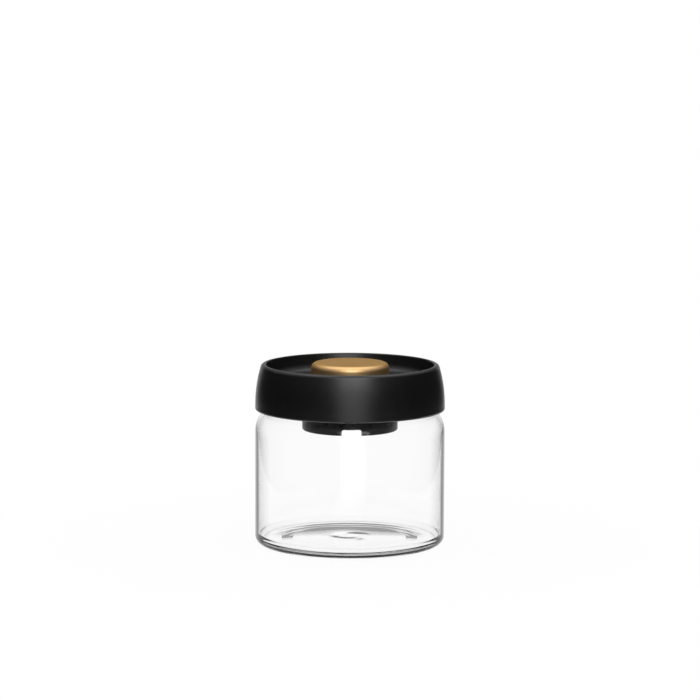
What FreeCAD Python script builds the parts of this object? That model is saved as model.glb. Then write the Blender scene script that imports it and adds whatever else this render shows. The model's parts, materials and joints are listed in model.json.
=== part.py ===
import FreeCAD, Part
import math
import os

# Vacuum seal canister with a press-button pump in its lid.
# Millimetres, +Z up, origin in the middle of the foot, the notch of the pump housing towards -Y.
# A size ending in share or shares is a part of another size, and angles are in degrees.

# Jar
JAR_RADIUS = 50.0
JAR_WALL = 2.2
JAR_WALL_HEIGHT = 66.0
SHOULDER_ANGLE = 45.0
SHOULDER_SHARE = 0.84
HOLLOW_SHARE = 0.15
INNER_SHOULDER_SHARE = 0.70
INNER_HOLLOW_SHARE = 0.25
NECK_INSET = 5.5
NECK_WALL = 2.5
NECK_HEIGHT = 6.5
NECK_ROUND_SHARE = 0.48
BASE_CORNER = 4.2
BASE_THICKNESS = 3.2
FLOOR_CORNER = 3.6
KICK_RADIUS = 36.0
KICK_RUN = 6.0
KICK_STEP = 1.5
KICK_RISE = 0.1
KICK_ROUND = 1.2
PONTIL_RADIUS = 7.0
PONTIL_HEIGHT = 0.6
PONTIL_ROUND = 4.0

# Lid gasket
RIM_GAP = 0.1
GASKET_FLANGE = 1.3
GASKET_INSET = 0.2
GASKET_EDGE = 0.4
BAND_THICKNESS = 1.15
LIP_REACH = 1.0
LIP_GAP = 0.15
LIP_DROP = 1.9
LIP_SPACING = 2.6
LIP_ROOT = 1.1
LIP_BACK = 0.4
LIP_ROUND = 0.15

# Inner lid
PLATE_THICKNESS = 2.0
PLATE_GAP = 0.2
PLUG_WALL = 2.0
PLUG_DEPTH = 8.8
PLUG_FOOT_REACH = 0.8
PLUG_FOOT_HEIGHT = 0.8
PLUG_ROUND = 0.35
SNUG_GAP = 0.05

# Screws of the pump flange
SCREW_COUNT = 4
SCREW_START_ANGLE = 45.0
SCREW_SHARE = 0.5
SCREW_RADIUS = 1.2
SCREW_LENGTH = 6.0
SCREW_HEAD_RADIUS = 2.2
SCREW_HEAD_HEIGHT = 1.1
SCREW_HEAD_ROUND = 0.6
SCREW_HOLE_GAP = 0.2
SCREW_BOSS_WALL = 1.8
SCREW_BOSS_FLOOR = 1.0
SCREW_TIP_GAP = 0.5
SCREW_HEAD_ROOM = 0.1

# Lid shell
LID_HEIGHT = 24.0
SKIRT_WALL = 3.0
SKIRT_EDGE = 0.9
SKIRT_LEAN = 3.25
BELLY_INSET = 0.25
BELLY_HEIGHT_SHARE = 0.56
BELLY_ROUND = 70.0
RIM_WIDTH = 2.3
RIM_OUTER_ROUND = 1.9
RIM_INNER_ROUND = 0.5
DISH_DEPTH = 9.1
DISH_FLOOR = 1.8
DISH_DRAFT = 1.8
DISH_WALL = 1.5
DISH_COVE = 5.0
DISH_HOLE_ROUND = 0.4
POCKET_DROP = 4.2
POCKET_LEAN = 0.9
COLLAR_WALL = 1.8
COLLAR_GAP = 0.2
SEAT_RING_WALL = 1.6
SEAT_RING_GAP = 0.8
BEAD_COUNT = 6
BEAD_SWEEP = 24.0
BEAD_REACH = 0.8
BEAD_HEIGHT = 1.0
BEAD_ROUND = 0.3

# Button
BUTTON_SHARE = 0.412
BUTTON_PROUD = 0.9
BUTTON_EDGE = 3.0
BUTTON_GAP = 0.35
CAP_WALL = 0.9
CAP_TOP = 1.4
CAP_GAP = 0.25
CAP_LIFT = 1.4
CAP_INNER_ROUND = 0.8
CAP_LIP_ROUND = 0.25
STROKE = 9.0

# Plunger under the button
STANDOFF = 0.9
STANDOFF_COUNT = 3
STANDOFF_SWEEP = 60.0
STANDOFF_SHARE = 0.6
PLUNGER_WALL = 1.8
PLUNGER_ROUND = 0.6
PLUNGER_RIB_COUNT = 6
PLUNGER_RIB_THICKNESS = 1.2
PLUNGER_RIB_DROP = 1.5
PISTON_HEIGHT = 4.2
PISTON_WEB = 2.2
PISTON_GAP = 0.25
PISTON_STOP_GAP = 0.2
GROOVE_DEPTH = 1.7
GROOVE_LAND = 0.9
HUB_WALL = 1.9
HUB_RAISE = 1.2
HUB_FLOOR = 1.8
HUB_SEAL_WIDTH = 0.8
HUB_SEAL_HEIGHT = 0.9
POCKET_ROOM = 2.7
POCKET_WALL = 1.4
POCKET_ROOF = 1.8

# Piston seal
SEAL_GAP = 0.1
SEAL_LEG = 0.6
SEAL_LIP = 0.5
SEAL_VALLEY = 1.2
SEAL_ROUND = 0.15

# Pump cylinder
STOP_LEDGE = 1.3
SPIGOT_WALL = 1.4
COUPLING_GAP = 0.1
COUPLING_HEIGHT = 3.0
FLANGE_THICKNESS = 1.6
FLANGE_EDGE = 2.7
FLANGE_SEAL_WIDTH = 1.4
FLANGE_SEAL_DEPTH = 1.2
FLANGE_SEAL_ROUND = 0.45
LUG_COUNT = 3
LUG_SWEEP = 16.0
LUG_REACH = 0.6
LUG_HEIGHT = 0.8
LUG_RISE = 0.6
LUG_GAP = 0.1
LUG_GAP_ANGLE = 1.0
LUG_TURN = 30.0

# Pump base
BASE_WALL = 1.35
BASE_EDGE = 1.3
BASE_SEAL_THICKNESS = 0.8
FLOOR_ROOM = 2.0
FLOOR_THICKNESS = 1.8
FOOT_RING_HEIGHT = 3.7
FOOT_RING_WALL = 2.6
NOTCH_COUNT = 2
NOTCH_WIDTH = 10.2
NOTCH_HEIGHT = 3.4
NOTCH_ROUND = 1.2
NOTCH_OVERRUN = 0.8
RAISED_REACH = 1.1
PORT_COUNT = 8
PORT_RADIUS = 1.2
PORT_OFFSET = 4.9
FLAP_THICKNESS = 0.6
FLAP_REACH = 8.4
FLAP_GAP = 0.1
FILTER_POCKET_INSET = 2.0
FILTER_POCKET_DEPTH = 0.7
FILTER_THICKNESS = 0.6
FILTER_GAP = 0.2
FILTER_RING_HEIGHT = 0.6
FILTER_RING_HOLD = 1.8

# Release stem
STEM_RADIUS = 3.0
STEM_GAP = 0.05
STEM_BORE_RADIUS = 1.2
STEM_PORT_RADIUS = 0.8
STEM_PORT_ANGLE = 60.0
STEM_PORT_HEIGHT = 2.1
STEM_TAIL = 0.3
STEM_COLLAR_REACH = 1.6
STEM_COLLAR_HEIGHT = 0.8
STEM_HEX_APOTHEM = 3.6
STEM_HEX_HEIGHT = 4.0
STEM_HEX_SIDES = 6
STEM_HEX_GAP = 0.15
STEM_HEX_SEAT_GAP = 0.2
STEM_BOSS_WALL = 2.55
STEM_BOSS_DROP = 2.7
STEM_SEAL_DEPTH = 0.7
STEM_SEAL_HEIGHT = 0.9
STEM_SEAL_SPREAD = 1.5
CLIP_GAP = 0.1
CLIP_THICKNESS = 0.4
CLIP_DEPTH = 0.8
CLIP_REACH = 1.4
CLIP_MOUTH_ANGLE = 70.0

# Return spring and its seat
SPRING_WIRE = 1.1
SPRING_TURNS = 8
SPRING_END_GAP = 0.5
SPRING_END_TURNS = 1.0
SPRING_RAMP_TURNS = 0.75
SPRING_SEAT_GAP = 0.05
SPRING_CHECK_STEPS = 24
SEAT_THICKNESS = 0.6
SEAT_HOLD = 1.9
SEAT_LIP_HEIGHT = 0.8
SEAT_LIP_WALL = 0.45
SEAT_LIP_GAP = 0.15

ORIGIN = FreeCAD.Vector(0, 0, 0)
UP = FreeCAD.Vector(0, 0, 1)
FULL_TURN = 360.0
QUARTERS = 4
TOUCHING = 1e-7

# Heights that pieces share
shoulder_tan = math.tan(math.radians(SHOULDER_ANGLE))
neck_foot = JAR_WALL_HEIGHT + NECK_INSET / shoulder_tan
neck_top = neck_foot + NECK_HEIGHT
gasket_bottom = neck_top + RIM_GAP
plate_bottom = gasket_bottom + GASKET_FLANGE
plate_top = plate_bottom + PLATE_THICKNESS
plug_bottom = plate_bottom - PLUG_DEPTH
flange_top = plate_top + FLANGE_THICKNESS
dish_under = flange_top + SCREW_HEAD_HEIGHT + SCREW_HEAD_ROOM
dish_top = dish_under + DISH_FLOOR
rim_top = dish_top + DISH_DEPTH
skirt_bottom = rim_top - LID_HEIGHT
button_top = rim_top + BUTTON_PROUD
cap_under = button_top - CAP_TOP
plunger_top = cap_under - STANDOFF
pocket_roof = plunger_top - POCKET_ROOF
piston_top = plate_top - PISTON_STOP_GAP
piston_bottom = piston_top - PISTON_HEIGHT
cap_bottom = piston_top + CAP_LIFT
hub_bottom = piston_bottom + HUB_RAISE
hub_floor = hub_bottom + HUB_FLOOR
chamber_floor = piston_bottom - STROKE - FLOOR_ROOM
spigot_bottom = chamber_floor + BASE_SEAL_THICKNESS
coupling_top = chamber_floor + COUPLING_HEIGHT
floor_under = chamber_floor - FLOOR_THICKNESS
base_bottom = floor_under - FOOT_RING_HEIGHT
raised_top = chamber_floor + FLAP_THICKNESS + FLAP_GAP
seat_top = raised_top + SEAT_THICKNESS
boss_bottom = floor_under - STEM_BOSS_DROP
port_height = boss_bottom + STEM_PORT_HEIGHT
clip_top = boss_bottom - CLIP_GAP
clip_bottom = clip_top - CLIP_THICKNESS
hex_bottom = hub_floor + STEM_HEX_SEAT_GAP
hex_top = hex_bottom + STEM_HEX_HEIGHT

# Radii that pieces share
button_radius = BUTTON_SHARE * JAR_RADIUS
neck_radius = JAR_RADIUS - NECK_INSET
neck_bore = neck_radius - NECK_WALL
lip_radius = neck_bore - LIP_GAP
band_radius = lip_radius - LIP_REACH
gasket_bore = band_radius - BAND_THICKNESS
plug_radius = gasket_bore - SNUG_GAP
plug_bore = plug_radius - PLUG_WALL
skirt_bore = JAR_RADIUS - SKIRT_WALL
plate_radius = skirt_bore - PLATE_GAP
rim_radius = JAR_RADIUS - SKIRT_LEAN
rim_bore = rim_radius - RIM_WIDTH
dish_radius = rim_bore - DISH_DRAFT
hole_radius = button_radius + BUTTON_GAP
bore_radius = hole_radius + STOP_LEDGE
spigot_radius = bore_radius + SPIGOT_WALL
coupling_bore = spigot_radius + COUPLING_GAP
housing_radius = coupling_bore + BASE_WALL
plate_bore = housing_radius + COUPLING_GAP
screw_circle = housing_radius + SCREW_SHARE * (plug_bore - housing_radius)
flange_radius = screw_circle + FLANGE_EDGE
flange_seal_middle = (plate_bore + screw_circle - SCREW_RADIUS - SCREW_HOLE_GAP) / 2
flange_seal_inner = flange_seal_middle - FLANGE_SEAL_WIDTH / 2
flange_seal_outer = flange_seal_middle + FLANGE_SEAL_WIDTH / 2
piston_radius = bore_radius - PISTON_GAP
groove_radius = piston_radius - GROOVE_DEPTH
cap_bore = button_radius - CAP_WALL
skirt_radius = cap_bore - CAP_GAP
skirt_inside = skirt_radius - PLUNGER_WALL
stem_hole = STEM_RADIUS + STEM_GAP
hex_hole = STEM_HEX_APOTHEM + STEM_HEX_GAP
hub_radius = hex_hole / math.cos(math.pi / STEM_HEX_SIDES) + HUB_WALL
pocket_bore = hub_radius + POCKET_ROOM
pocket_radius = pocket_bore + POCKET_WALL
spring_radius = (hub_radius + pocket_bore) / 2
spring_inside = spring_radius - SPRING_WIRE / 2
seat_lip_radius = spring_inside - SEAT_LIP_GAP
seat_bore = seat_lip_radius - SEAT_LIP_WALL
raised_radius = spring_radius + RAISED_REACH
foot_ring_bore = housing_radius - FOOT_RING_WALL
filter_pocket_radius = foot_ring_bore - FILTER_POCKET_INSET
boss_radius = stem_hole + STEM_BOSS_WALL


# Shaping helpers

def at(radius, height):
    return FreeCAD.Vector(radius, 0, height)


def outline(corners):
    # a closed face in the XZ plane, whose corners are (radius, height) or (radius, height, rounding)
    joins = []
    for index, corner in enumerate(corners):
        here = at(corner[0], corner[1])
        if len(corner) == 2:
            joins.append([here])
            continue
        before = corners[index - 1]
        after = corners[(index + 1) % len(corners)]
        back = (at(before[0], before[1]) - here).normalize()
        ahead = (at(after[0], after[1]) - here).normalize()
        half_angle = back.getAngle(ahead) / 2
        reach = corner[2] / math.tan(half_angle)
        inward = (back + ahead).normalize()
        crest = here + inward * (corner[2] / math.sin(half_angle) - corner[2])
        joins.append([here + back * reach, crest, here + ahead * reach])
    edges = []
    for index, join in enumerate(joins):
        if len(join) == 3:
            edges.append(Part.Arc(*join).toShape())
        following = joins[(index + 1) % len(joins)][0]
        if join[-1].distanceToPoint(following) > TOUCHING:
            edges.append(Part.LineSegment(join[-1], following).toShape())
    return Part.Face(Part.Wire(edges))


def turned(corners, start=0, sweep=FULL_TURN):
    shape = outline(corners).revolve(ORIGIN, UP, sweep)
    shape.rotate(ORIGIN, UP, start)
    return shape


def ring(inner, outer, bottom, top, start=0, sweep=FULL_TURN):
    return turned([(inner, bottom), (outer, bottom), (outer, top), (inner, top)], start, sweep)


def soft_ring(inner, outer, bottom, top, rounding):
    return turned([
        (inner, bottom, rounding),
        (outer, bottom, rounding),
        (outer, top, rounding),
        (inner, top, rounding)])


def spread(shape, count, start=0):
    # copies of a shape, evenly round the axis
    copies = []
    for index in range(count):
        copy = shape.copy()
        copy.rotate(ORIGIN, UP, start + index * FULL_TURN / count)
        copies.append(copy)
    return copies


def post(radius, distance, bottom, top):
    return Part.makeCylinder(radius, top - bottom, at(distance, bottom), UP)


def hexagon(apothem, bottom, top):
    corner_radius = apothem / math.cos(math.pi / STEM_HEX_SIDES)
    points = []
    for index in range(STEM_HEX_SIDES + 1):
        angle = math.radians(index * FULL_TURN / STEM_HEX_SIDES)
        across = corner_radius * math.cos(angle)
        along = corner_radius * math.sin(angle)
        points.append(FreeCAD.Vector(across, along, bottom))
    return Part.Face(Part.makePolygon(points)).extrude(UP * (top - bottom))


# Jar and gasket

def glass_jar():
    half_tan = math.tan(math.radians(SHOULDER_ANGLE) / 2)
    shoulder_sin = math.sin(math.radians(SHOULDER_ANGLE))
    outer_reach = NECK_INSET / shoulder_sin / half_tan
    inside = JAR_RADIUS - JAR_WALL
    inner_wall_height = JAR_WALL_HEIGHT - JAR_WALL * half_tan
    inner_inset = inside - neck_bore
    inner_reach = inner_inset / shoulder_sin / half_tan
    inner_neck_foot = inner_wall_height + inner_inset / shoulder_tan
    neck_round = NECK_ROUND_SHARE * NECK_WALL
    return turned([
        (0, KICK_STEP + KICK_RISE),
        (KICK_RADIUS - KICK_RUN, KICK_STEP, KICK_ROUND),
        (KICK_RADIUS, 0, KICK_ROUND),
        (JAR_RADIUS, 0, BASE_CORNER),
        (JAR_RADIUS, JAR_WALL_HEIGHT, SHOULDER_SHARE * outer_reach),
        (neck_radius, neck_foot, HOLLOW_SHARE * outer_reach),
        (neck_radius, neck_top, neck_round),
        (neck_bore, neck_top, neck_round),
        (neck_bore, inner_neck_foot, INNER_HOLLOW_SHARE * inner_reach),
        (inside, inner_wall_height, INNER_SHOULDER_SHARE * inner_reach),
        (inside, BASE_THICKNESS, FLOOR_CORNER),
        (PONTIL_RADIUS, BASE_THICKNESS, PONTIL_ROUND),
        (0, BASE_THICKNESS + PONTIL_HEIGHT)])


def lid_gasket():
    upper_lip = gasket_bottom - LIP_DROP
    lower_lip = upper_lip - LIP_SPACING
    band_bottom = plug_bottom + PLUG_FOOT_HEIGHT + SNUG_GAP
    flange_edge = neck_radius - GASKET_INSET
    return turned([
        (gasket_bore, band_bottom),
        (band_radius, band_bottom),
        (band_radius, lower_lip - LIP_ROOT),
        (lip_radius, lower_lip, LIP_ROUND),
        (band_radius, lower_lip + LIP_BACK),
        (band_radius, upper_lip - LIP_ROOT),
        (lip_radius, upper_lip, LIP_ROUND),
        (band_radius, upper_lip + LIP_BACK),
        (band_radius, gasket_bottom),
        (flange_edge, gasket_bottom, GASKET_EDGE),
        (flange_edge, plate_bottom, GASKET_EDGE),
        (gasket_bore, plate_bottom)])


# Lid

def inner_lid():
    foot_radius = plug_radius + PLUG_FOOT_REACH
    foot_top = plug_bottom + PLUG_FOOT_HEIGHT
    body = turned([
        (plate_bore, plate_bottom),
        (plug_bore, plate_bottom, PLUG_ROUND),
        (plug_bore, plug_bottom, PLUG_ROUND),
        (foot_radius, plug_bottom, PLUG_ROUND),
        (foot_radius, foot_top),
        (plug_radius, foot_top),
        (plug_radius, plate_bottom),
        (plate_radius, plate_bottom),
        (plate_radius, plate_top),
        (plate_bore, plate_top)])
    hole_bottom = flange_top - SCREW_LENGTH - SCREW_TIP_GAP
    boss = post(SCREW_RADIUS + SCREW_BOSS_WALL, screw_circle, hole_bottom - SCREW_BOSS_FLOOR, plate_top)
    hole = post(SCREW_RADIUS + SNUG_GAP, screw_circle, hole_bottom, plate_top)
    body = body.fuse(spread(boss, SCREW_COUNT, SCREW_START_ANGLE))
    body = body.cut(spread(hole, SCREW_COUNT, SCREW_START_ANGLE))
    groove = ring(flange_seal_inner, flange_seal_outer, plate_top - FLANGE_SEAL_DEPTH, plate_top)
    return body.cut(groove).removeSplitter()


def flange_seal():
    return soft_ring(
        flange_seal_inner + SNUG_GAP,
        flange_seal_outer - SNUG_GAP,
        plate_top - FLANGE_SEAL_DEPTH,
        plate_top,
        FLANGE_SEAL_ROUND)


def flange_screws():
    screw = turned([
        (0, flange_top - SCREW_LENGTH),
        (SCREW_RADIUS, flange_top - SCREW_LENGTH),
        (SCREW_RADIUS, flange_top),
        (SCREW_HEAD_RADIUS, flange_top),
        (SCREW_HEAD_RADIUS, flange_top + SCREW_HEAD_HEIGHT, SCREW_HEAD_ROUND),
        (0, flange_top + SCREW_HEAD_HEIGHT)])
    screw.translate(at(screw_circle, 0))
    return Part.makeCompound(spread(screw, SCREW_COUNT, SCREW_START_ANGLE))


def lid_shell():
    belly_height = skirt_bottom + BELLY_HEIGHT_SHARE * LID_HEIGHT
    pocket_top = rim_top - POCKET_DROP
    draft_share = (pocket_top - dish_top) / DISH_DEPTH
    pocket_inner = dish_radius + draft_share * DISH_DRAFT + DISH_WALL
    body = turned([
        (JAR_RADIUS, skirt_bottom, SKIRT_EDGE),
        (JAR_RADIUS - BELLY_INSET, belly_height, BELLY_ROUND),
        (rim_radius, rim_top, RIM_OUTER_ROUND),
        (rim_bore, rim_top, RIM_INNER_ROUND),
        (dish_radius, dish_top, DISH_COVE),
        (hole_radius, dish_top, DISH_HOLE_ROUND),
        (hole_radius, flange_top + COLLAR_GAP),
        (hole_radius + COLLAR_WALL, flange_top + COLLAR_GAP),
        (hole_radius + COLLAR_WALL, dish_under),
        (dish_radius + DISH_WALL, dish_under, DISH_COVE + DISH_WALL),
        (pocket_inner, pocket_top),
        (skirt_bore - POCKET_LEAN, pocket_top),
        (skirt_bore, dish_under),
        (skirt_bore, skirt_bottom)])
    seat_inner = flange_radius + SEAT_RING_GAP
    seat_ring = ring(seat_inner, seat_inner + SEAT_RING_WALL, plate_top, dish_under + DISH_FLOOR / 2)
    bead_top = plate_bottom - SNUG_GAP
    bead = turned([
        (skirt_bore - BEAD_REACH, bead_top - BEAD_HEIGHT, BEAD_ROUND),
        (skirt_bore + BEAD_REACH, bead_top - BEAD_HEIGHT),
        (skirt_bore + BEAD_REACH, bead_top),
        (skirt_bore - BEAD_REACH, bead_top, BEAD_ROUND)],
        -BEAD_SWEEP / 2,
        BEAD_SWEEP)
    return body.fuse([seat_ring] + spread(bead, BEAD_COUNT)).removeSplitter()


# Pump housing

def pump_cylinder():
    body = turned([
        (hole_radius, plate_top),
        (bore_radius, plate_top),
        (bore_radius, spigot_bottom),
        (spigot_radius, spigot_bottom),
        (spigot_radius, coupling_top),
        (housing_radius, coupling_top),
        (housing_radius, plate_top),
        (flange_radius, plate_top),
        (flange_radius, flange_top),
        (hole_radius, flange_top)])
    lug_bottom = spigot_bottom + LUG_RISE
    lug = ring(
        spigot_radius - SPIGOT_WALL / 2,
        spigot_radius + LUG_REACH,
        lug_bottom,
        lug_bottom + LUG_HEIGHT,
        -LUG_SWEEP / 2,
        LUG_SWEEP)
    hole = post(SCREW_RADIUS + SCREW_HOLE_GAP, screw_circle, plate_top, flange_top)
    body = body.fuse(spread(lug, LUG_COUNT))
    return body.cut(spread(hole, SCREW_COUNT, SCREW_START_ANGLE)).removeSplitter()


def pump_base():
    body = turned([
        (stem_hole, boss_bottom),
        (boss_radius, boss_bottom),
        (boss_radius, floor_under + FILTER_POCKET_DEPTH),
        (filter_pocket_radius, floor_under + FILTER_POCKET_DEPTH),
        (filter_pocket_radius, floor_under),
        (foot_ring_bore, floor_under),
        (foot_ring_bore, base_bottom),
        (housing_radius, base_bottom, BASE_EDGE),
        (housing_radius, coupling_top - COUPLING_GAP),
        (coupling_bore, coupling_top - COUPLING_GAP),
        (coupling_bore, chamber_floor),
        (raised_radius, chamber_floor),
        (raised_radius, raised_top),
        (stem_hole, raised_top)])
    # bayonet slots: an upright entry, then a level run
    lug_bottom = spigot_bottom + LUG_RISE - LUG_GAP
    lug_top = spigot_bottom + LUG_RISE + LUG_HEIGHT + LUG_GAP
    slot_inner = coupling_bore - LUG_REACH
    slot_outer = spigot_radius + LUG_REACH + LUG_GAP
    slot_sweep = LUG_SWEEP + 2 * LUG_GAP_ANGLE
    run = ring(slot_inner, slot_outer, lug_bottom, lug_top, -slot_sweep / 2, slot_sweep + LUG_TURN)
    entry = ring(slot_inner, slot_outer, lug_bottom, coupling_top, LUG_TURN - slot_sweep / 2, slot_sweep)
    # finger notches in the foot ring, one at the front and one at the back
    notch = outline([
        (-NOTCH_WIDTH / 2, base_bottom - NOTCH_OVERRUN),
        (NOTCH_WIDTH / 2, base_bottom - NOTCH_OVERRUN),
        (NOTCH_WIDTH / 2, base_bottom + NOTCH_HEIGHT, NOTCH_ROUND),
        (-NOTCH_WIDTH / 2, base_bottom + NOTCH_HEIGHT, NOTCH_ROUND)])
    notch.translate(FreeCAD.Vector(0, -housing_radius - NOTCH_OVERRUN, 0))
    notch = notch.extrude(FreeCAD.Vector(0, FOOT_RING_WALL + 2 * NOTCH_OVERRUN, 0))
    # inlet ports in the floor, and the release port through the boss of the stem
    port = post(PORT_RADIUS, spring_radius + PORT_OFFSET, floor_under, raised_top)
    release = Part.makeCylinder(STEM_PORT_RADIUS, boss_radius, at(0, port_height), at(1, 0))
    release.rotate(ORIGIN, UP, STEM_PORT_ANGLE)
    cutters = spread(run, LUG_COUNT) + spread(entry, LUG_COUNT)
    cutters += spread(notch, NOTCH_COUNT) + spread(port, PORT_COUNT)
    return body.cut(cutters + [release]).removeSplitter()


def base_seal():
    return ring(bore_radius + SNUG_GAP, spigot_radius, chamber_floor, spigot_bottom)


def inlet_flap():
    flap_top = chamber_floor + FLAP_THICKNESS
    return ring(raised_radius + FLAP_GAP, spring_radius + FLAP_REACH, chamber_floor, flap_top)


def spring_seat():
    return turned([
        (seat_bore, raised_top),
        (raised_radius + SEAT_HOLD, raised_top),
        (raised_radius + SEAT_HOLD, seat_top),
        (seat_lip_radius, seat_top),
        (seat_lip_radius, seat_top + SEAT_LIP_HEIGHT),
        (seat_bore, seat_top + SEAT_LIP_HEIGHT)])


def inlet_filter():
    return ring(
        boss_radius + FILTER_GAP,
        filter_pocket_radius - FILTER_GAP,
        floor_under,
        floor_under + FILTER_THICKNESS)


def filter_ring():
    return ring(
        filter_pocket_radius - FILTER_RING_HOLD,
        foot_ring_bore - SNUG_GAP,
        floor_under - FILTER_RING_HEIGHT,
        floor_under)


# Release stem

def seal_groove(height):
    bottom = height - STEM_SEAL_HEIGHT / 2
    return ring(STEM_RADIUS - STEM_SEAL_DEPTH, stem_hole, bottom, bottom + STEM_SEAL_HEIGHT)


def release_stem():
    collar_bottom = raised_top + STEM_GAP
    collar_top = collar_bottom + STEM_COLLAR_HEIGHT
    body = turned([
        (0, clip_bottom - STEM_TAIL),
        (STEM_RADIUS, clip_bottom - STEM_TAIL),
        (STEM_RADIUS, collar_bottom),
        (STEM_RADIUS + STEM_COLLAR_REACH, collar_bottom),
        (STEM_RADIUS + STEM_COLLAR_REACH, collar_top),
        (STEM_RADIUS, collar_top),
        (STEM_RADIUS, hex_bottom),
        (0, hex_bottom)])
    body = body.fuse(hexagon(STEM_HEX_APOTHEM, hex_bottom, hex_top))
    bore = post(STEM_BORE_RADIUS, 0, port_height - STEM_PORT_RADIUS, hex_top)
    port = Part.makeCylinder(STEM_PORT_RADIUS, stem_hole, at(0, port_height), at(1, 0))
    clip_groove = ring(STEM_RADIUS - CLIP_DEPTH, stem_hole, clip_bottom, clip_top)
    grooves = [seal_groove(port_height - STEM_SEAL_SPREAD), seal_groove(port_height + STEM_SEAL_SPREAD)]
    return body.cut([bore, port, clip_groove] + grooves).removeSplitter()


def stem_seals():
    rings = []
    for height in (port_height - STEM_SEAL_SPREAD, port_height + STEM_SEAL_SPREAD):
        rings.append(soft_ring(
            STEM_RADIUS - STEM_SEAL_DEPTH + SNUG_GAP / 2,
            STEM_RADIUS + STEM_GAP / 2,
            height - STEM_SEAL_HEIGHT / 2,
            height + STEM_SEAL_HEIGHT / 2,
            STEM_SEAL_DEPTH / 3))
    return Part.makeCompound(rings)


def stem_clip():
    return ring(
        STEM_RADIUS - CLIP_DEPTH + SNUG_GAP,
        STEM_RADIUS + CLIP_REACH,
        clip_bottom,
        clip_top,
        CLIP_MOUTH_ANGLE / 2,
        FULL_TURN - CLIP_MOUTH_ANGLE)


# Plunger and button

def plunger():
    groove_bottom = piston_bottom + GROOVE_LAND
    groove_top = piston_top - GROOVE_LAND
    web_top = piston_bottom + PISTON_WEB
    body = turned([
        (stem_hole, hub_bottom),
        (hub_radius, hub_bottom),
        (hub_radius, pocket_roof, PLUNGER_ROUND),
        (pocket_bore, pocket_roof, PLUNGER_ROUND),
        (pocket_bore, piston_bottom),
        (piston_radius, piston_bottom),
        (piston_radius, groove_bottom),
        (groove_radius, groove_bottom),
        (groove_radius, groove_top),
        (piston_radius, groove_top),
        (piston_radius, piston_top),
        (skirt_radius, piston_top),
        (skirt_radius, plunger_top),
        (skirt_inside, plunger_top),
        (skirt_inside, web_top, PLUNGER_ROUND),
        (pocket_radius, web_top, PLUNGER_ROUND),
        (pocket_radius, plunger_top),
        (stem_hole, plunger_top)])
    rib = Part.makeBox(
        skirt_inside - pocket_bore,
        PLUNGER_RIB_THICKNESS,
        plunger_top - PLUNGER_RIB_DROP - web_top + PLUNGER_ROUND,
        FreeCAD.Vector(pocket_bore + POCKET_WALL / 2, -PLUNGER_RIB_THICKNESS / 2, web_top - PLUNGER_ROUND))
    standoff = ring(
        skirt_inside,
        skirt_inside + STANDOFF_SHARE * PLUNGER_WALL,
        plunger_top,
        cap_under,
        -STANDOFF_SWEEP / 2,
        STANDOFF_SWEEP)
    body = body.fuse(spread(rib, PLUNGER_RIB_COUNT) + spread(standoff, STANDOFF_COUNT))
    groove = ring(
        stem_hole - STEM_GAP,
        stem_hole + HUB_SEAL_WIDTH,
        hub_bottom + HUB_SEAL_HEIGHT / 2,
        hub_bottom + HUB_SEAL_HEIGHT * 3 / 2)
    return body.cut([hexagon(hex_hole, hub_floor, plunger_top), groove]).removeSplitter()


def plunger_seal():
    return soft_ring(
        STEM_RADIUS + STEM_GAP / 2,
        stem_hole + HUB_SEAL_WIDTH - SNUG_GAP,
        hub_bottom + HUB_SEAL_HEIGHT / 2,
        hub_bottom + HUB_SEAL_HEIGHT * 3 / 2,
        HUB_SEAL_WIDTH / 3)


def piston_seal():
    inner = groove_radius + SNUG_GAP
    bottom = piston_bottom + GROOVE_LAND
    top = piston_top - GROOVE_LAND - SNUG_GAP
    lip = bore_radius - SEAL_GAP
    return turned([
        (inner, bottom),
        (piston_radius - SEAL_GAP, bottom, SEAL_ROUND),
        (lip, top - SEAL_LIP, SEAL_ROUND),
        (lip, top, SEAL_ROUND),
        (lip - SEAL_LIP, top),
        (inner + SEAL_LEG, top - SEAL_VALLEY, SEAL_ROUND),
        (inner + SEAL_LEG, top),
        (inner, top)])


def button_cap():
    return turned([
        (0, cap_under),
        (cap_bore, cap_under, CAP_INNER_ROUND),
        (cap_bore, cap_bottom, CAP_LIP_ROUND),
        (button_radius, cap_bottom, CAP_LIP_ROUND),
        (button_radius, button_top, BUTTON_EDGE),
        (0, button_top)])


# Return spring

def spring_nodes():
    # places and directions of the wire's centre line at each quarter turn, closer wound at both ends
    bottom = seat_top + SPRING_SEAT_GAP + SPRING_WIRE / 2
    top = pocket_roof - SPRING_SEAT_GAP - SPRING_WIRE / 2
    steps = SPRING_TURNS * QUARTERS
    end_pitch = SPRING_WIRE + SPRING_END_GAP
    open_shares = []
    for step in range(steps):
        turns_from_end = (min(step, steps - 1 - step) + 1) / QUARTERS
        open_share = (turns_from_end - SPRING_END_TURNS) / SPRING_RAMP_TURNS
        open_shares.append(max(0, min(1, open_share)))
    extra_pitch = ((top - bottom) * QUARTERS - steps * end_pitch) / sum(open_shares)
    pitches = [end_pitch + extra_pitch * share for share in open_shares]
    nodes = []
    height = bottom
    for step in range(steps + 1):
        angle = 2 * math.pi * step / QUARTERS
        pitch = (pitches[max(step - 1, 0)] + pitches[min(step, steps - 1)]) / 2
        place = FreeCAD.Vector(spring_radius * math.cos(angle), spring_radius * math.sin(angle), height)
        rise = pitch / (2 * math.pi)
        along = FreeCAD.Vector(-spring_radius * math.sin(angle), spring_radius * math.cos(angle), rise)
        nodes.append((place, along.normalize()))
        if step < steps:
            height = height + pitches[step] / QUARTERS
    return nodes


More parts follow.
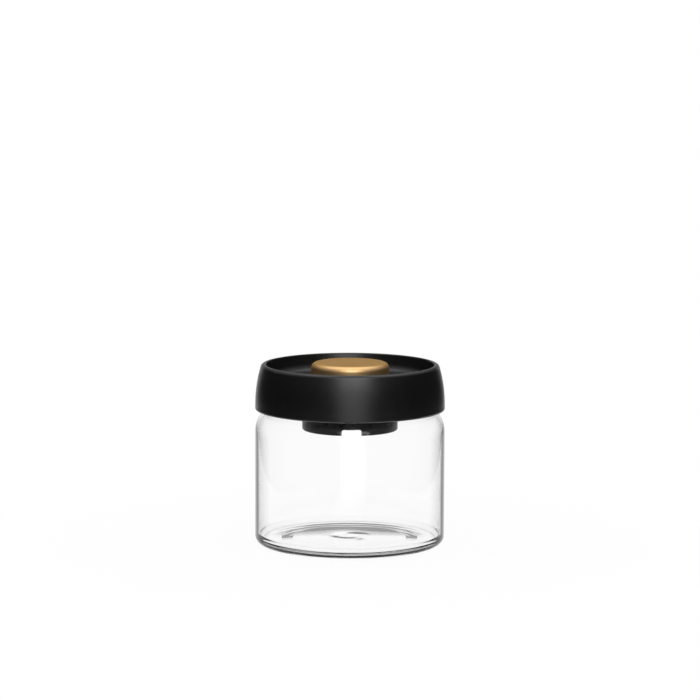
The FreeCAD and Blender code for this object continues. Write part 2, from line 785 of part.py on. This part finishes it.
def arc_from(start, along, end):
    # the arc that leaves start in a direction and reaches end
    chord = end - start
    sideways = chord - along * chord.dot(along)
    centre = start + sideways * (chord.dot(chord) / (2 * sideways.dot(sideways)))
    bisector = ((start - centre).normalize() + (end - centre).normalize()).normalize()
    return Part.Arc(start, centre + bisector * (start - centre).Length, end).toShape()


def biarc(first, second):
    # two arcs that join two places and leave each in its own direction
    (start, start_along), (end, end_along) = first, second
    chord = end - start
    both = start_along + end_along
    lean = chord.dot(both)
    closing = 2 * (1 - start_along.dot(end_along))
    reach = (-lean + math.sqrt(lean * lean + closing * chord.dot(chord))) / closing
    middle = (start + start_along * reach + end - end_along * reach) / 2
    forward = arc_from(start, start_along, middle)
    backward = arc_from(end, -end_along, middle)
    return [forward, backward]


def return_spring():
    nodes = spring_nodes()
    edges = []
    for first, second in zip(nodes, nodes[1:]):
        edges.extend(biarc(first, second))
    spine = Part.Wire(Part.__sortEdges__(edges))
    section = Part.Wire(Part.makeCircle(SPRING_WIRE / 2, nodes[0][0], nodes[0][1]))
    return spine, spine.makePipeShell([section], True, False)


def least_spring_gap(spine):
    # the closest that turns of the wire come to each other, on points of the centre line
    points = spine.discretize(SPRING_TURNS * SPRING_CHECK_STEPS + 1)
    apart = SPRING_CHECK_STEPS // 2
    least = spine.BoundBox.DiagonalLength
    for index, place in enumerate(points):
        for other in points[index + apart:]:
            least = min(least, place.distanceToPoint(other))
    return least - SPRING_WIRE


os.makedirs("parts", exist_ok=True)
spring_spine, spring_shape = return_spring()
print("least gap between turns of the spring", round(least_spring_gap(spring_spine), 2))

pieces = {
    "glass_jar": glass_jar(),
    "lid_gasket": lid_gasket(),
    "inner_lid": inner_lid(),
    "flange_seal": flange_seal(),
    "flange_screws": flange_screws(),
    "lid_shell": lid_shell(),
    "pump_cylinder": pump_cylinder(),
    "pump_base": pump_base(),
    "base_seal": base_seal(),
    "inlet_flap": inlet_flap(),
    "spring_seat": spring_seat(),
    "inlet_filter": inlet_filter(),
    "filter_ring": filter_ring(),
    "release_stem": release_stem(),
    "stem_seals": stem_seals(),
    "stem_clip": stem_clip(),
    "plunger": plunger(),
    "plunger_seal": plunger_seal(),
    "piston_seal": piston_seal(),
    "button_cap": button_cap(),
    "return_spring": spring_shape,
}
for name, shape in pieces.items():
    print(name, shape.isValid(), len(shape.Solids), round(shape.Volume, 1))
    shape.exportStep("parts/" + name + ".step")
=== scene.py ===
import json
import math

import bmesh
import bpy
from mathutils import Euler, Matrix, Vector


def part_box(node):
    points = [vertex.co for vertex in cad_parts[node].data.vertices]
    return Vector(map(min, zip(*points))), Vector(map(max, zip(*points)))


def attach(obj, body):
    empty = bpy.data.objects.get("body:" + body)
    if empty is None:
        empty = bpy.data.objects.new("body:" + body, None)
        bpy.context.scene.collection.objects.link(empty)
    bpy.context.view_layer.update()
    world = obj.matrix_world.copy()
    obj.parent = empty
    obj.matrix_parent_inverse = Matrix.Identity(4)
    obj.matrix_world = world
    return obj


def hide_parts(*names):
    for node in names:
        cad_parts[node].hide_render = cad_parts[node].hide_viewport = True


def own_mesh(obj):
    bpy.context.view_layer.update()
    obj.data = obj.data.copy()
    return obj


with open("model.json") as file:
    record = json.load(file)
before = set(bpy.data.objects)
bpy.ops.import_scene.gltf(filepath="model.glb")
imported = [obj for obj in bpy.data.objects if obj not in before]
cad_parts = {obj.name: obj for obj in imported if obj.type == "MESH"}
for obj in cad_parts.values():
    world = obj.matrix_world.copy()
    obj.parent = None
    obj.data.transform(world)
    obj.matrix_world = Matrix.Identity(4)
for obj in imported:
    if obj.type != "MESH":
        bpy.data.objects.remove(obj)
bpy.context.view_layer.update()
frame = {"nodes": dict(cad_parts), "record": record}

nodes = frame["nodes"]

# Sizes of the jar and the spring are in millimetres, as in the solids; MM turns them into metres
MM = 0.001

# Jar
JAR_RADIUS = 50.0
JAR_WALL = 2.2
JAR_WALL_HEIGHT = 66.0
SHOULDER_ANGLE = 45.0
SHOULDER_SHARE = 0.84
HOLLOW_SHARE = 0.15
INNER_SHOULDER_SHARE = 0.70
INNER_HOLLOW_SHARE = 0.25
NECK_INSET = 5.5
NECK_WALL = 2.5
NECK_HEIGHT = 6.5
NECK_ROUND_SHARE = 0.48
BASE_CORNER = 4.2
BASE_THICKNESS = 3.2
FLOOR_CORNER = 3.6
KICK_RADIUS = 36.0
KICK_RUN = 6.0
KICK_STEP = 1.5
KICK_RISE = 0.1
KICK_ROUND = 1.2
PONTIL_RADIUS = 7.0
PONTIL_HEIGHT = 0.6
PONTIL_ROUND = 4.0
SWIRL_RADIUS = 13.0
SWIRL_HEIGHT = 0.5
SWIRL_LOBES = 2
SWIRL_PHASE = 0.6
SWIRL_TWIST = 4.0
SWIRL_RING_SHARES = (1.0, 0.92, 0.84, 0.76, 0.68, 0.6)
PULL_TOP = BASE_THICKNESS + PONTIL_HEIGHT + SWIRL_HEIGHT

# Return spring
SPRING_RADIUS = 7.58
SPRING_WIRE = 1.1
SPRING_TURNS = 8
SPRING_TURN_STEPS = 24

# Fineness of the turned shapes
LATHE_SEGMENTS = 192
ARC_STEP_ANGLE = 6.0
LEAST_ARC_STEPS = 3
SHARP_ANGLE = 35.0
AXIS_REACH = 1e-6


# Shapes

def add_object(name, data):
    thing = bpy.data.objects.new(name, data)
    bpy.context.scene.collection.objects.link(thing)
    return thing


def turned_place(radius, angle, height):
    # a place at an angle about the axis, in metres
    return (radius * math.cos(angle) * MM, radius * math.sin(angle) * MM, height * MM)


def rounded_outline(corners):
    # points of a closed outline, whose corners are (radius, height) or (radius, height, rounding)
    points = []
    for index, corner in enumerate(corners):
        here = Vector(corner[:2])
        if len(corner) == 2:
            points.append(here)
            continue
        back = (Vector(corners[index - 1][:2]) - here).normalized()
        ahead = (Vector(corners[(index + 1) % len(corners)][:2]) - here).normalized()
        half_angle = back.angle(ahead) / 2
        centre = here + (back + ahead).normalized() * (corner[2] / math.sin(half_angle))
        first = here + back * (corner[2] / math.tan(half_angle)) - centre
        sweep = first.angle_signed(here + ahead * (corner[2] / math.tan(half_angle)) - centre)
        steps = max(LEAST_ARC_STEPS, math.ceil(abs(math.degrees(sweep)) / ARC_STEP_ANGLE))
        for step in range(steps + 1):
            turn = -sweep * step / steps
            spoke = Vector((
                first.x * math.cos(turn) - first.y * math.sin(turn),
                first.x * math.sin(turn) + first.y * math.cos(turn)))
            points.append(centre + spoke)
    return points


def lathe(name, corners):
    # a closed solid of revolution about Z, smooth but for its sharp corners
    mesh_maker = bmesh.new()
    rings = []
    for point in rounded_outline(corners):
        if point.x < AXIS_REACH:
            rings.append([mesh_maker.verts.new((0, 0, point.y * MM))])
            continue
        ring = []
        for segment in range(LATHE_SEGMENTS):
            angle = 2 * math.pi * segment / LATHE_SEGMENTS
            ring.append(mesh_maker.verts.new(turned_place(point.x, angle, point.y)))
        rings.append(ring)
    for lower, upper in zip(rings, rings[1:] + rings[:1]):
        if len(lower) == 1 and len(upper) == 1:
            continue
        for segment in range(LATHE_SEGMENTS):
            after = (segment + 1) % LATHE_SEGMENTS
            corners_here = [lower[segment % len(lower)], lower[after % len(lower)]]
            corners_here += [upper[after % len(upper)], upper[segment % len(upper)]]
            mesh_maker.faces.new(list(dict.fromkeys(corners_here)))
    bmesh.ops.recalc_face_normals(mesh_maker, faces=mesh_maker.faces)
    mesh = bpy.data.meshes.new(name)
    mesh_maker.to_mesh(mesh)
    mesh_maker.free()
    mesh.shade_smooth()
    mesh.set_sharp_from_angle(angle=math.radians(SHARP_ANGLE))
    return add_object(name, mesh)


def jar_corners():
    # from the middle of the foot, up the outside, over the rim and down to the middle of the floor
    half_tan = math.tan(math.radians(SHOULDER_ANGLE) / 2)
    shoulder_sin = math.sin(math.radians(SHOULDER_ANGLE))
    shoulder_tan = math.tan(math.radians(SHOULDER_ANGLE))
    neck_radius = JAR_RADIUS - NECK_INSET
    neck_bore = neck_radius - NECK_WALL
    neck_foot = JAR_WALL_HEIGHT + NECK_INSET / shoulder_tan
    neck_top = neck_foot + NECK_HEIGHT
    neck_round = NECK_ROUND_SHARE * NECK_WALL
    outer_reach = NECK_INSET / shoulder_sin / half_tan
    inside = JAR_RADIUS - JAR_WALL
    inner_wall_height = JAR_WALL_HEIGHT - JAR_WALL * half_tan
    inner_inset = inside - neck_bore
    inner_reach = inner_inset / shoulder_sin / half_tan
    inner_neck_foot = inner_wall_height + inner_inset / shoulder_tan
    swirl_rings = [(SWIRL_RADIUS * share, BASE_THICKNESS) for share in SWIRL_RING_SHARES]
    return [
        (0, KICK_STEP + KICK_RISE),
        (KICK_RADIUS - KICK_RUN, KICK_STEP, KICK_ROUND),
        (KICK_RADIUS, 0, KICK_ROUND),
        (JAR_RADIUS, 0, BASE_CORNER),
        (JAR_RADIUS, JAR_WALL_HEIGHT, SHOULDER_SHARE * outer_reach),
        (neck_radius, neck_foot, HOLLOW_SHARE * outer_reach),
        (neck_radius, neck_top, neck_round),
        (neck_bore, neck_top, neck_round),
        (neck_bore, inner_neck_foot, INNER_HOLLOW_SHARE * inner_reach),
        (inside, inner_wall_height, INNER_SHOULDER_SHARE * inner_reach),
        (inside, BASE_THICKNESS, FLOOR_CORNER),
        *swirl_rings,
        (PONTIL_RADIUS, BASE_THICKNESS, PONTIL_ROUND),
        (0, BASE_THICKNESS + PONTIL_HEIGHT)]


def swirl(piece):
    # the pull mark in the middle of the inner floor is uneven, as blown glass is
    for vertex in piece.data.vertices:
        share = math.hypot(vertex.co.x, vertex.co.y) / (SWIRL_RADIUS * MM)
        if share >= 1 or vertex.co.z < BASE_THICKNESS * MM / 2 or vertex.co.z > PULL_TOP * MM:
            continue
        turn = SWIRL_LOBES * math.atan2(vertex.co.y, vertex.co.x) + SWIRL_TWIST * share + SWIRL_PHASE
        vertex.co.z += SWIRL_HEIGHT * MM * share * (1 - share ** 2) ** 2 * math.sin(turn)


# Shader nodes

WHITE = (1, 1, 1, 1)
BLACK = (0, 0, 0, 1)
WEAR_RADIUS = 0.0006
WEAR_REACH_SHARE = 0.12


def new_material(name):
    material = bpy.data.materials.new(name)
    material.use_nodes = True
    tree = material.node_tree
    return material, tree, tree.nodes["Principled BSDF"]


def set_values(node, values):
    for socket, value in values.items():
        node.inputs[socket].default_value = value


def feed(tree, socket, value):
    # a link where the value is another node's output, or else a plain number
    if isinstance(value, bpy.types.NodeSocket):
        tree.links.new(value, socket)
    else:
        socket.default_value = value


def calculate(tree, operation, *values, kind="ShaderNodeMath"):
    node = tree.nodes.new(kind)
    node.operation = operation
    for index, value in enumerate(values):
        feed(tree, node.inputs[index], value)
    return node.outputs["Value"]


def calculate_vector(tree, operation, *values):
    return calculate(tree, operation, *values, kind="ShaderNodeVectorMath")


def blend(tree, factor, plain, other):
    # the plain value where the factor is 0, the other one where it is 1
    mix = tree.nodes.new("ShaderNodeMix")
    feed(tree, mix.inputs["Factor"], factor)
    feed(tree, mix.inputs["A"], plain)
    feed(tree, mix.inputs["B"], other)
    return mix.outputs["Result"]


def blend_shaders(tree, factor, plain, other):
    mix = tree.nodes.new("ShaderNodeMixShader")
    tree.links.new(factor, mix.inputs["Fac"])
    tree.links.new(plain.outputs[0], mix.inputs[1])
    tree.links.new(other.outputs[0], mix.inputs[2])
    return mix


def vary(tree, value, low, high, start=0.0, end=1.0):
    # low where the value is at its start, high where it is at its end
    spread = tree.nodes.new("ShaderNodeMapRange")
    set_values(spread, {"From Min": start, "From Max": end, "To Min": low, "To Max": high})
    tree.links.new(value, spread.inputs["Value"])
    return spread.outputs["Result"]


def split_vector(tree, vector):
    parts = tree.nodes.new("ShaderNodeSeparateXYZ")
    tree.links.new(vector, parts.inputs[0])
    return parts.outputs


def noise(tree, scale, detail):
    place = tree.nodes.new("ShaderNodeTexCoord")
    texture = tree.nodes.new("ShaderNodeTexNoise")
    set_values(texture, {"Scale": scale, "Detail": detail})
    tree.links.new(place.outputs["Object"], texture.inputs["Vector"])
    return texture.outputs["Fac"]


def bump(tree, shader, height, strength_share, depth):
    node = tree.nodes.new("ShaderNodeBump")
    set_values(node, {"Strength": strength_share, "Distance": depth})
    tree.links.new(height, node.inputs["Height"])
    tree.links.new(node.outputs["Normal"], shader.inputs["Normal"])


def tinted(tree, shader, value, dark, light):
    ramp = tree.nodes.new("ShaderNodeValToRGB")
    ramp.color_ramp.elements[0].color = (*dark, 1)
    ramp.color_ramp.elements[1].color = (*light, 1)
    tree.links.new(value, ramp.inputs["Fac"])
    tree.links.new(ramp.outputs["Color"], shader.inputs["Base Color"])


def worn_edges(tree):
    # 1 along sharp edges, where handling polishes them
    shape = tree.nodes.new("ShaderNodeNewGeometry")
    softened = tree.nodes.new("ShaderNodeBevel")
    set_values(softened, {"Radius": WEAR_RADIUS})
    match = calculate_vector(tree, "DOT_PRODUCT", softened.outputs[0], shape.outputs["Normal"])
    return vary(tree, match, 0.0, 1.0, start=1.0, end=1 - WEAR_REACH_SHARE)


# Materials with a mottled colour, smudged gloss and fine grain
# Each noise is a scale per metre and a detail; the depths are in metres

BLACK_PLASTIC_LOOK = {
    "dark": (0.002, 0.002, 0.002),
    "light": (0.0035, 0.0035, 0.0035),
    "mottle_noise": (60.0, 3.0),
    "smooth_share": 0.30,
    "rough_share": 0.38,
    "worn_share": 0.22,
    "smudge_noise": (250.0, 4.0),
    "grain_noise": (3500.0, 2.0),
    "grain_share": 0.12,
    "grain_depth": 0.00004,
}
GOLD_LOOK = {
    "dark": (0.70, 0.45, 0.215),
    "light": (0.78, 0.505, 0.24),
    "mottle_noise": (120.0, 3.0),
    "smooth_share": 0.43,
    "rough_share": 0.51,
    "worn_share": 0.3,
    "smudge_noise": (400.0, 4.0),
    "grain_noise": (5000.0, 2.0),
    "grain_share": 0.02,
    "grain_depth": 0.00003,
}
SILICONE_LOOK = {
    "dark": (0.02, 0.02, 0.02),
    "light": (0.03, 0.03, 0.03),
    "mottle_noise": (90.0, 3.0),
    "smooth_share": 0.55,
    "rough_share": 0.7,
    "smudge_noise": (300.0, 3.0),
    "grain_noise": (2500.0, 2.0),
    "grain_share": 0.1,
    "grain_depth": 0.00004,
}
STEEL_LOOK = {
    "dark": (0.50, 0.50, 0.50),
    "light": (0.62, 0.62, 0.62),
    "mottle_noise": (300.0, 3.0),
    "smooth_share": 0.22,
    "rough_share": 0.36,
    "smudge_noise": (900.0, 3.0),
    "grain_noise": (4000.0, 2.0),
    "grain_share": 0.1,
    "grain_depth": 0.00003,
}
WHITE_PLASTIC_LOOK = {
    "dark": (0.72, 0.72, 0.69),
    "light": (0.78, 0.78, 0.75),
    "mottle_noise": (80.0, 3.0),
    "smooth_share": 0.35,
    "rough_share": 0.45,
    "smudge_noise": (250.0, 3.0),
    "grain_noise": (2500.0, 2.0),
    "grain_share": 0.08,
    "grain_depth": 0.00004,
}
LID_GLOSS_SHARE = 0.5
# Less gloss for the shaded copy of the black plastic inside the jar
INNER_GLOSS_SHARE = 0.12
GOLD_EDGE_TINT = (0.34, 0.25, 0.085, 1)
SILICONE_GLOSS_SHARE = 0.3
SILICONE_SHEEN_SHARE = 0.1


def mottled(name, look, values):
    material, tree, shader = new_material(name)
    set_values(shader, values)
    tinted(tree, shader, noise(tree, *look["mottle_noise"]), look["dark"], look["light"])
    roughness = vary(tree, noise(tree, *look["smudge_noise"]), look["smooth_share"], look["rough_share"])
    if "worn_share" in look:
        roughness = blend(tree, worn_edges(tree), roughness, look["worn_share"])
    tree.links.new(roughness, shader.inputs["Roughness"])
    bump(tree, shader, noise(tree, *look["grain_noise"]), look["grain_share"], look["grain_depth"])
    return material


# Glass

GLASS_INDEX = 1.48
GLASS_GLOSS_TINT = (0.3, 0.3, 0.3, 1)
GLASS_DENSITY = 5.0
# The edge shares and greys below set painted shade along the glass's edges
FLAT_GREY_SHARE = 0.6
OUTSIDE_REACH = 0.01
EDGE_CLEAR_SHARE = 0.47
EDGE_GREY_SHARE = 0.69
EDGE_BLACK_SHARE = 0.75
PAINTED_EDGE_GREY = (0.52, 0.52, 0.52, 1)
RIPPLE_NOISE = (45.0, 1.0)
RIPPLE_SHARE = 0.02
RIPPLE_DEPTH = 0.0005


def clear_glass():
    material, tree, shader = new_material("clear_glass")
    set_values(shader, {
        "Transmission Weight": 1.0,
        "IOR": GLASS_INDEX,
        "Roughness": 0.0,
        "Specular Tint": GLASS_GLOSS_TINT})
    # the outside of a wall is painted grey, then black, where it is seen edge on, and less so on lying
    # surfaces: painted shade along the glass's edges
    facing = tree.nodes.new("ShaderNodeLayerWeight")
    place = tree.nodes.new("ShaderNodeTexCoord")
    lying = calculate(tree, "ABSOLUTE", split_vector(tree, place.outputs["Normal"])["Z"])
    upright = vary(tree, lying, 1.0, FLAT_GREY_SHARE)
    outward = calculate_vector(tree, "DOT_PRODUCT", place.outputs["Normal"], place.outputs["Object"])
    outside = calculate(tree, "GREATER_THAN", outward, OUTSIDE_REACH)
    wall = calculate(tree, "MULTIPLY", outside, upright)
    painted_edge_shade = calculate(tree, "MULTIPLY", facing.outputs["Facing"], wall)
    ramp = tree.nodes.new("ShaderNodeValToRGB")
    stops = ramp.color_ramp.elements
    stops[0].position = EDGE_CLEAR_SHARE
    stops[0].color = WHITE
    stops[1].position = EDGE_BLACK_SHARE
    stops[1].color = BLACK
    stops.new(EDGE_GREY_SHARE).color = PAINTED_EDGE_GREY
    tree.links.new(painted_edge_shade, ramp.inputs["Fac"])
    tree.links.new(ramp.outputs["Color"], shader.inputs["Base Color"])
    bump(tree, shader, noise(tree, *RIPPLE_NOISE), RIPPLE_SHARE, RIPPLE_DEPTH)
    body = tree.nodes.new("ShaderNodeVolumeAbsorption")
    set_values(body, {"Color": BLACK, "Density": GLASS_DENSITY})
    tree.links.new(body.outputs[0], tree.nodes["Material Output"].inputs["Volume"])
    return material


# Filter

WIRE_SCALE = 500.0
# The gap colour is painted shade between the wires
WIRE_GAP_SHADE_COLOUR = (0.03, 0.03, 0.03)
WIRE_COLOUR = (0.45, 0.45, 0.45)
WIRE_GAP_ROUGH_SHARE = 0.6
WIRE_ROUGH_SHARE = 0.3
WIRE_BUMP_SHARE = 0.5
WIRE_DEPTH = 0.0001


def filter_mesh():
    # woven wires: two crossed waves set the height, and the gaps between the wires are painted dark, as
    # painted shade
    material, tree, shader = new_material("filter_mesh")
    set_values(shader, {"Metallic": 1.0})
    place = tree.nodes.new("ShaderNodeTexCoord")
    waves = []
    for direction in ("X", "Y"):
        wave = tree.nodes.new("ShaderNodeTexWave")
        wave.bands_direction = direction
        set_values(wave, {"Scale": WIRE_SCALE})
        tree.links.new(place.outputs["Object"], wave.inputs["Vector"])
        waves.append(wave.outputs["Fac"])
    weave = calculate(tree, "MAXIMUM", *waves)
    tinted(tree, shader, weave, WIRE_GAP_SHADE_COLOUR, WIRE_COLOUR)
    roughness = vary(tree, weave, WIRE_GAP_ROUGH_SHARE, WIRE_ROUGH_SHARE)
    tree.links.new(roughness, shader.inputs["Roughness"])
    bump(tree, shader, weave, WIRE_BUMP_SHARE, WIRE_DEPTH)
    return material


MATERIALS = {
    "clear_glass": clear_glass(),
    "black_plastic": mottled("black_plastic", BLACK_PLASTIC_LOOK, {
        "Specular IOR Level": LID_GLOSS_SHARE}),
    "shaded_inner_plastic": mottled("shaded_inner_plastic", BLACK_PLASTIC_LOOK, {
        "Specular IOR Level": INNER_GLOSS_SHARE}),
    "gold_aluminium": mottled("gold_aluminium", GOLD_LOOK, {
        "Metallic": 1.0,
        "Specular Tint": GOLD_EDGE_TINT}),
    "dark_silicone": mottled("dark_silicone", SILICONE_LOOK, {
        "Specular IOR Level": SILICONE_GLOSS_SHARE,
        "Sheen Weight": SILICONE_SHEEN_SHARE}),
    "spring_steel": mottled("spring_steel", STEEL_LOOK, {"Metallic": 1.0}),
    "white_plastic": mottled("white_plastic", WHITE_PLASTIC_LOOK, {}),
    "filter_mesh": filter_mesh(),
}


def paint(piece, slot):
    piece.data.materials.clear()
    piece.data.materials.append(MATERIALS[slot])


for entry in frame["record"]["subparts"]:
    paint(nodes[entry["node"]], entry["material_slot"])

# The black pieces inside the jar get a copy of the lid's plastic with less gloss, so that they reflect
# less and look darker: a shaded copy of one material
for name in ("inner_lid", "pump_cylinder", "pump_base", "filter_ring"):
    paint(nodes[name], "shaded_inner_plastic")

# Blown glass, turned finely so that it refracts smoothly
jar = lathe("jar_glass", jar_corners())
swirl(jar)
paint(jar, "clear_glass")
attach(jar, "jar")
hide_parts("glass_jar")


# Return spring, drawn at its resting length; the real one shortens as the button goes down

spring_low, spring_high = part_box("return_spring")
SPRING_BOTTOM = spring_low[2] / MM
SPRING_TOP = spring_high[2] / MM


def coil_spring():
    curve = bpy.data.curves.new("return_coil", "CURVE")
    curve.dimensions = "3D"
    curve.bevel_depth = SPRING_WIRE / 2 * MM
    curve.use_fill_caps = True
    spline = curve.splines.new("POLY")
    steps = SPRING_TURNS * SPRING_TURN_STEPS
    spline.points.add(steps)
    rise = SPRING_TOP - SPRING_BOTTOM - SPRING_WIRE
    for step in range(steps + 1):
        angle = 2 * math.pi * SPRING_TURNS * step / steps
        height = SPRING_BOTTOM + SPRING_WIRE / 2 + rise * step / steps
        spline.points[step].co = (*turned_place(SPRING_RADIUS, angle, height), 1)
    maker = add_object("return_coil_maker", curve)
    bpy.context.view_layer.update()
    mesh = bpy.data.meshes.new_from_object(maker.evaluated_get(bpy.context.evaluated_depsgraph_get()))
    bpy.data.objects.remove(maker)
    mesh.shade_smooth()
    return add_object("return_coil", mesh)


coil = coil_spring()
paint(coil, "spring_steel")
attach(coil, "lid")
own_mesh(coil)
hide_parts("return_spring")

# Camera, fitted to the photograph's 700 x 700 frame; lengths from here on are in metres
IMAGE_SIDE = 700
FOCAL_PIXELS = 3000.0
SENSOR = 36.0
CAMERA_DISTANCE = 1.5644
CAMERA_HEIGHT = 0.3054
CAMERA_PITCH = 0.129
CAMERA_TURN = math.radians(2.0)
AXIS_COLUMN = 350.2
CAMERA_ROLL = math.radians(0.2)

camera_data = bpy.data.cameras.new("camera")
camera_data.sensor_width = SENSOR
camera_data.lens = SENSOR * FOCAL_PIXELS / IMAGE_SIDE
camera = add_object("camera", camera_data)
yaw = -CAMERA_TURN - (IMAGE_SIDE / 2 - AXIS_COLUMN) / FOCAL_PIXELS
camera.location = (
    -CAMERA_DISTANCE * math.sin(CAMERA_TURN),
    -CAMERA_DISTANCE * math.cos(CAMERA_TURN),
    CAMERA_HEIGHT)
tilt = Euler((math.pi / 2 - CAMERA_PITCH, 0, yaw)).to_matrix()
camera.rotation_euler = (tilt @ Matrix.Rotation(CAMERA_ROLL, 3, "Z")).to_euler()
bpy.context.scene.camera = camera


# Floor

FLOOR_FRONT = -0.2
FLOOR_BACK = 30.0
FLOOR_FRONT_HALF = 0.2
FLOOR_BACK_HALF = 4.0
FLOOR_GAP = 0.0002
FLOOR_COLOUR = (0.9, 0.9, 0.9, 1)
FLOOR_ROUGH_SHARE = 0.9
FLOOR_WHITE_SHARE = 0.96
FLOOR_FADE_START = 0.06
FLOOR_FADE_END = 0.2


def light_path_mask(tree):
    # 1 for what the camera sees straight, in a mirror or through glass
    path = tree.nodes.new("ShaderNodeLightPath")
    total = path.outputs["Is Camera Ray"]
    for ray in ("Is Glossy Ray", "Is Transmission Ray"):
        total = calculate(tree, "MAXIMUM", total, path.outputs[ray])
    return total


def make_floor():
    # it is narrow in front, so that the lid shows the dim room; past its edges the world is as white
    mesh = bpy.data.meshes.new("floor")
    corners = [
        (-FLOOR_FRONT_HALF, FLOOR_FRONT, -FLOOR_GAP),
        (FLOOR_FRONT_HALF, FLOOR_FRONT, -FLOOR_GAP),
        (FLOOR_BACK_HALF, FLOOR_BACK, -FLOOR_GAP),
        (-FLOOR_BACK_HALF, FLOOR_BACK, -FLOOR_GAP)]
    mesh.from_pydata(corners, [], [(0, 1, 2, 3)])
    floor = add_object("floor", mesh)
    material, tree, shader = new_material("floor")
    set_values(shader, {
        "Base Color": FLOOR_COLOUR,
        "Roughness": FLOOR_ROUGH_SHARE,
        "Specular IOR Level": 0.0})
    white = tree.nodes.new("ShaderNodeEmission")
    # the shadow fades out around the jar, so that the floor's edges don't show
    shape = tree.nodes.new("ShaderNodeNewGeometry")
    away = calculate_vector(tree, "LENGTH", shape.outputs["Position"])
    fade = vary(tree, away, FLOOR_WHITE_SHARE, 1.0, start=FLOOR_FADE_START, end=FLOOR_FADE_END)
    white_share = calculate(tree, "MULTIPLY", light_path_mask(tree), fade)
    above = blend_shaders(tree, white_share, shader, white)
    # from below the floor is clear, so that the underside can be seen
    clear = tree.nodes.new("ShaderNodeBsdfTransparent")
    both = blend_shaders(tree, shape.outputs["Backfacing"], above, clear)
    tree.links.new(both.outputs[0], tree.nodes["Material Output"].inputs["Surface"])
    floor.data.materials.append(material)


# World, whose shares are heights or depths of a direction of length 1

WHITE_LIGHT = 1.0
WORLD_LIGHT = 0.15
HORIZON_LIGHT = 1.0
HORIZON_TOP_SHARE = 0.1
HORIZON_END_LIGHT = 0.1
HORIZON_END_SHARE = 0.25
BACK_START_SHARE = 0.86
BACK_FULL_SHARE = 0.95
SIDE_LIGHT = 0.04
CEILING_LIGHT = 0.55
CEILING_LOW_SHARE = 0.3
CEILING_HIGH_SHARE = 0.6
WALL_TOP_SHARE = 0.2
DARK_LIGHT = 0.45
DARK_START_SHARE = 0.45


def make_world():
    world = bpy.data.worlds.new("studio")
    bpy.context.scene.world = world
    world.use_nodes = True
    tree = world.node_tree
    path = tree.nodes.new("ShaderNodeLightPath")
    place = tree.nodes.new("ShaderNodeTexCoord")
    parts = split_vector(tree, place.outputs["Generated"])
    # gloss shows a bright horizon behind the object, dim sides and a pale ceiling
    horizon = vary(
        tree, parts["Z"], HORIZON_LIGHT, HORIZON_END_LIGHT, start=HORIZON_TOP_SHARE, end=HORIZON_END_SHARE)
    behind = vary(tree, parts["Y"], 0.0, 1.0, start=BACK_START_SHARE, end=BACK_FULL_SHARE)
    backdrop = calculate(tree, "MULTIPLY", horizon, behind)
    ceiling = vary(
        tree, parts["Z"], SIDE_LIGHT, CEILING_LIGHT, start=CEILING_LOW_SHARE, end=CEILING_HIGH_SHARE)
    room = calculate(tree, "MAXIMUM", backdrop, ceiling)
    # glass shows a white wall all round, which is greyer higher up
    wall = vary(tree, parts["Z"], WHITE_LIGHT, DARK_LIGHT, start=WALL_TOP_SHARE, end=DARK_START_SHARE)
    light = blend(tree, path.outputs["Is Glossy Ray"], WORLD_LIGHT, room)
    light = blend(tree, path.outputs["Is Transmission Ray"], light, wall)
    light = blend(tree, path.outputs["Is Camera Ray"], light, WHITE_LIGHT)
    background = tree.nodes["Background"]
    set_values(background, {"Color": WHITE})
    tree.links.new(light, background.inputs["Strength"])


# Lamps: the place, width, height and power of each, all aimed at the jar

LAMP_TARGET = (0, 0, 0.07)
LAMPS = {
    "overhead": ((0, 0.1, 1.2), 1.6, 1.2, 7.5),
    "front_strip": ((0.1, -1.75, 1.15), 1.3, 1.0, 18.5),
    "front_low": ((0.06, -1.9, 0.0), 1.05, 1.0, 5.0),
}


def area_lamp(name, place, width, height, power):
    data = bpy.data.lights.new(name, "AREA")
    data.shape = "RECTANGLE"
    data.size = width
    data.size_y = height
    data.energy = power
    lamp = add_object(name, data)
    lamp.location = place
    lamp.rotation_euler = (Vector(LAMP_TARGET) - Vector(place)).to_track_quat("-Z", "Y").to_euler()


make_floor()
make_world()
for name, (place, width, height, power) in LAMPS.items():
    area_lamp(name, place, width, height, power)

bpy.context.scene.view_settings.view_transform = "Standard"
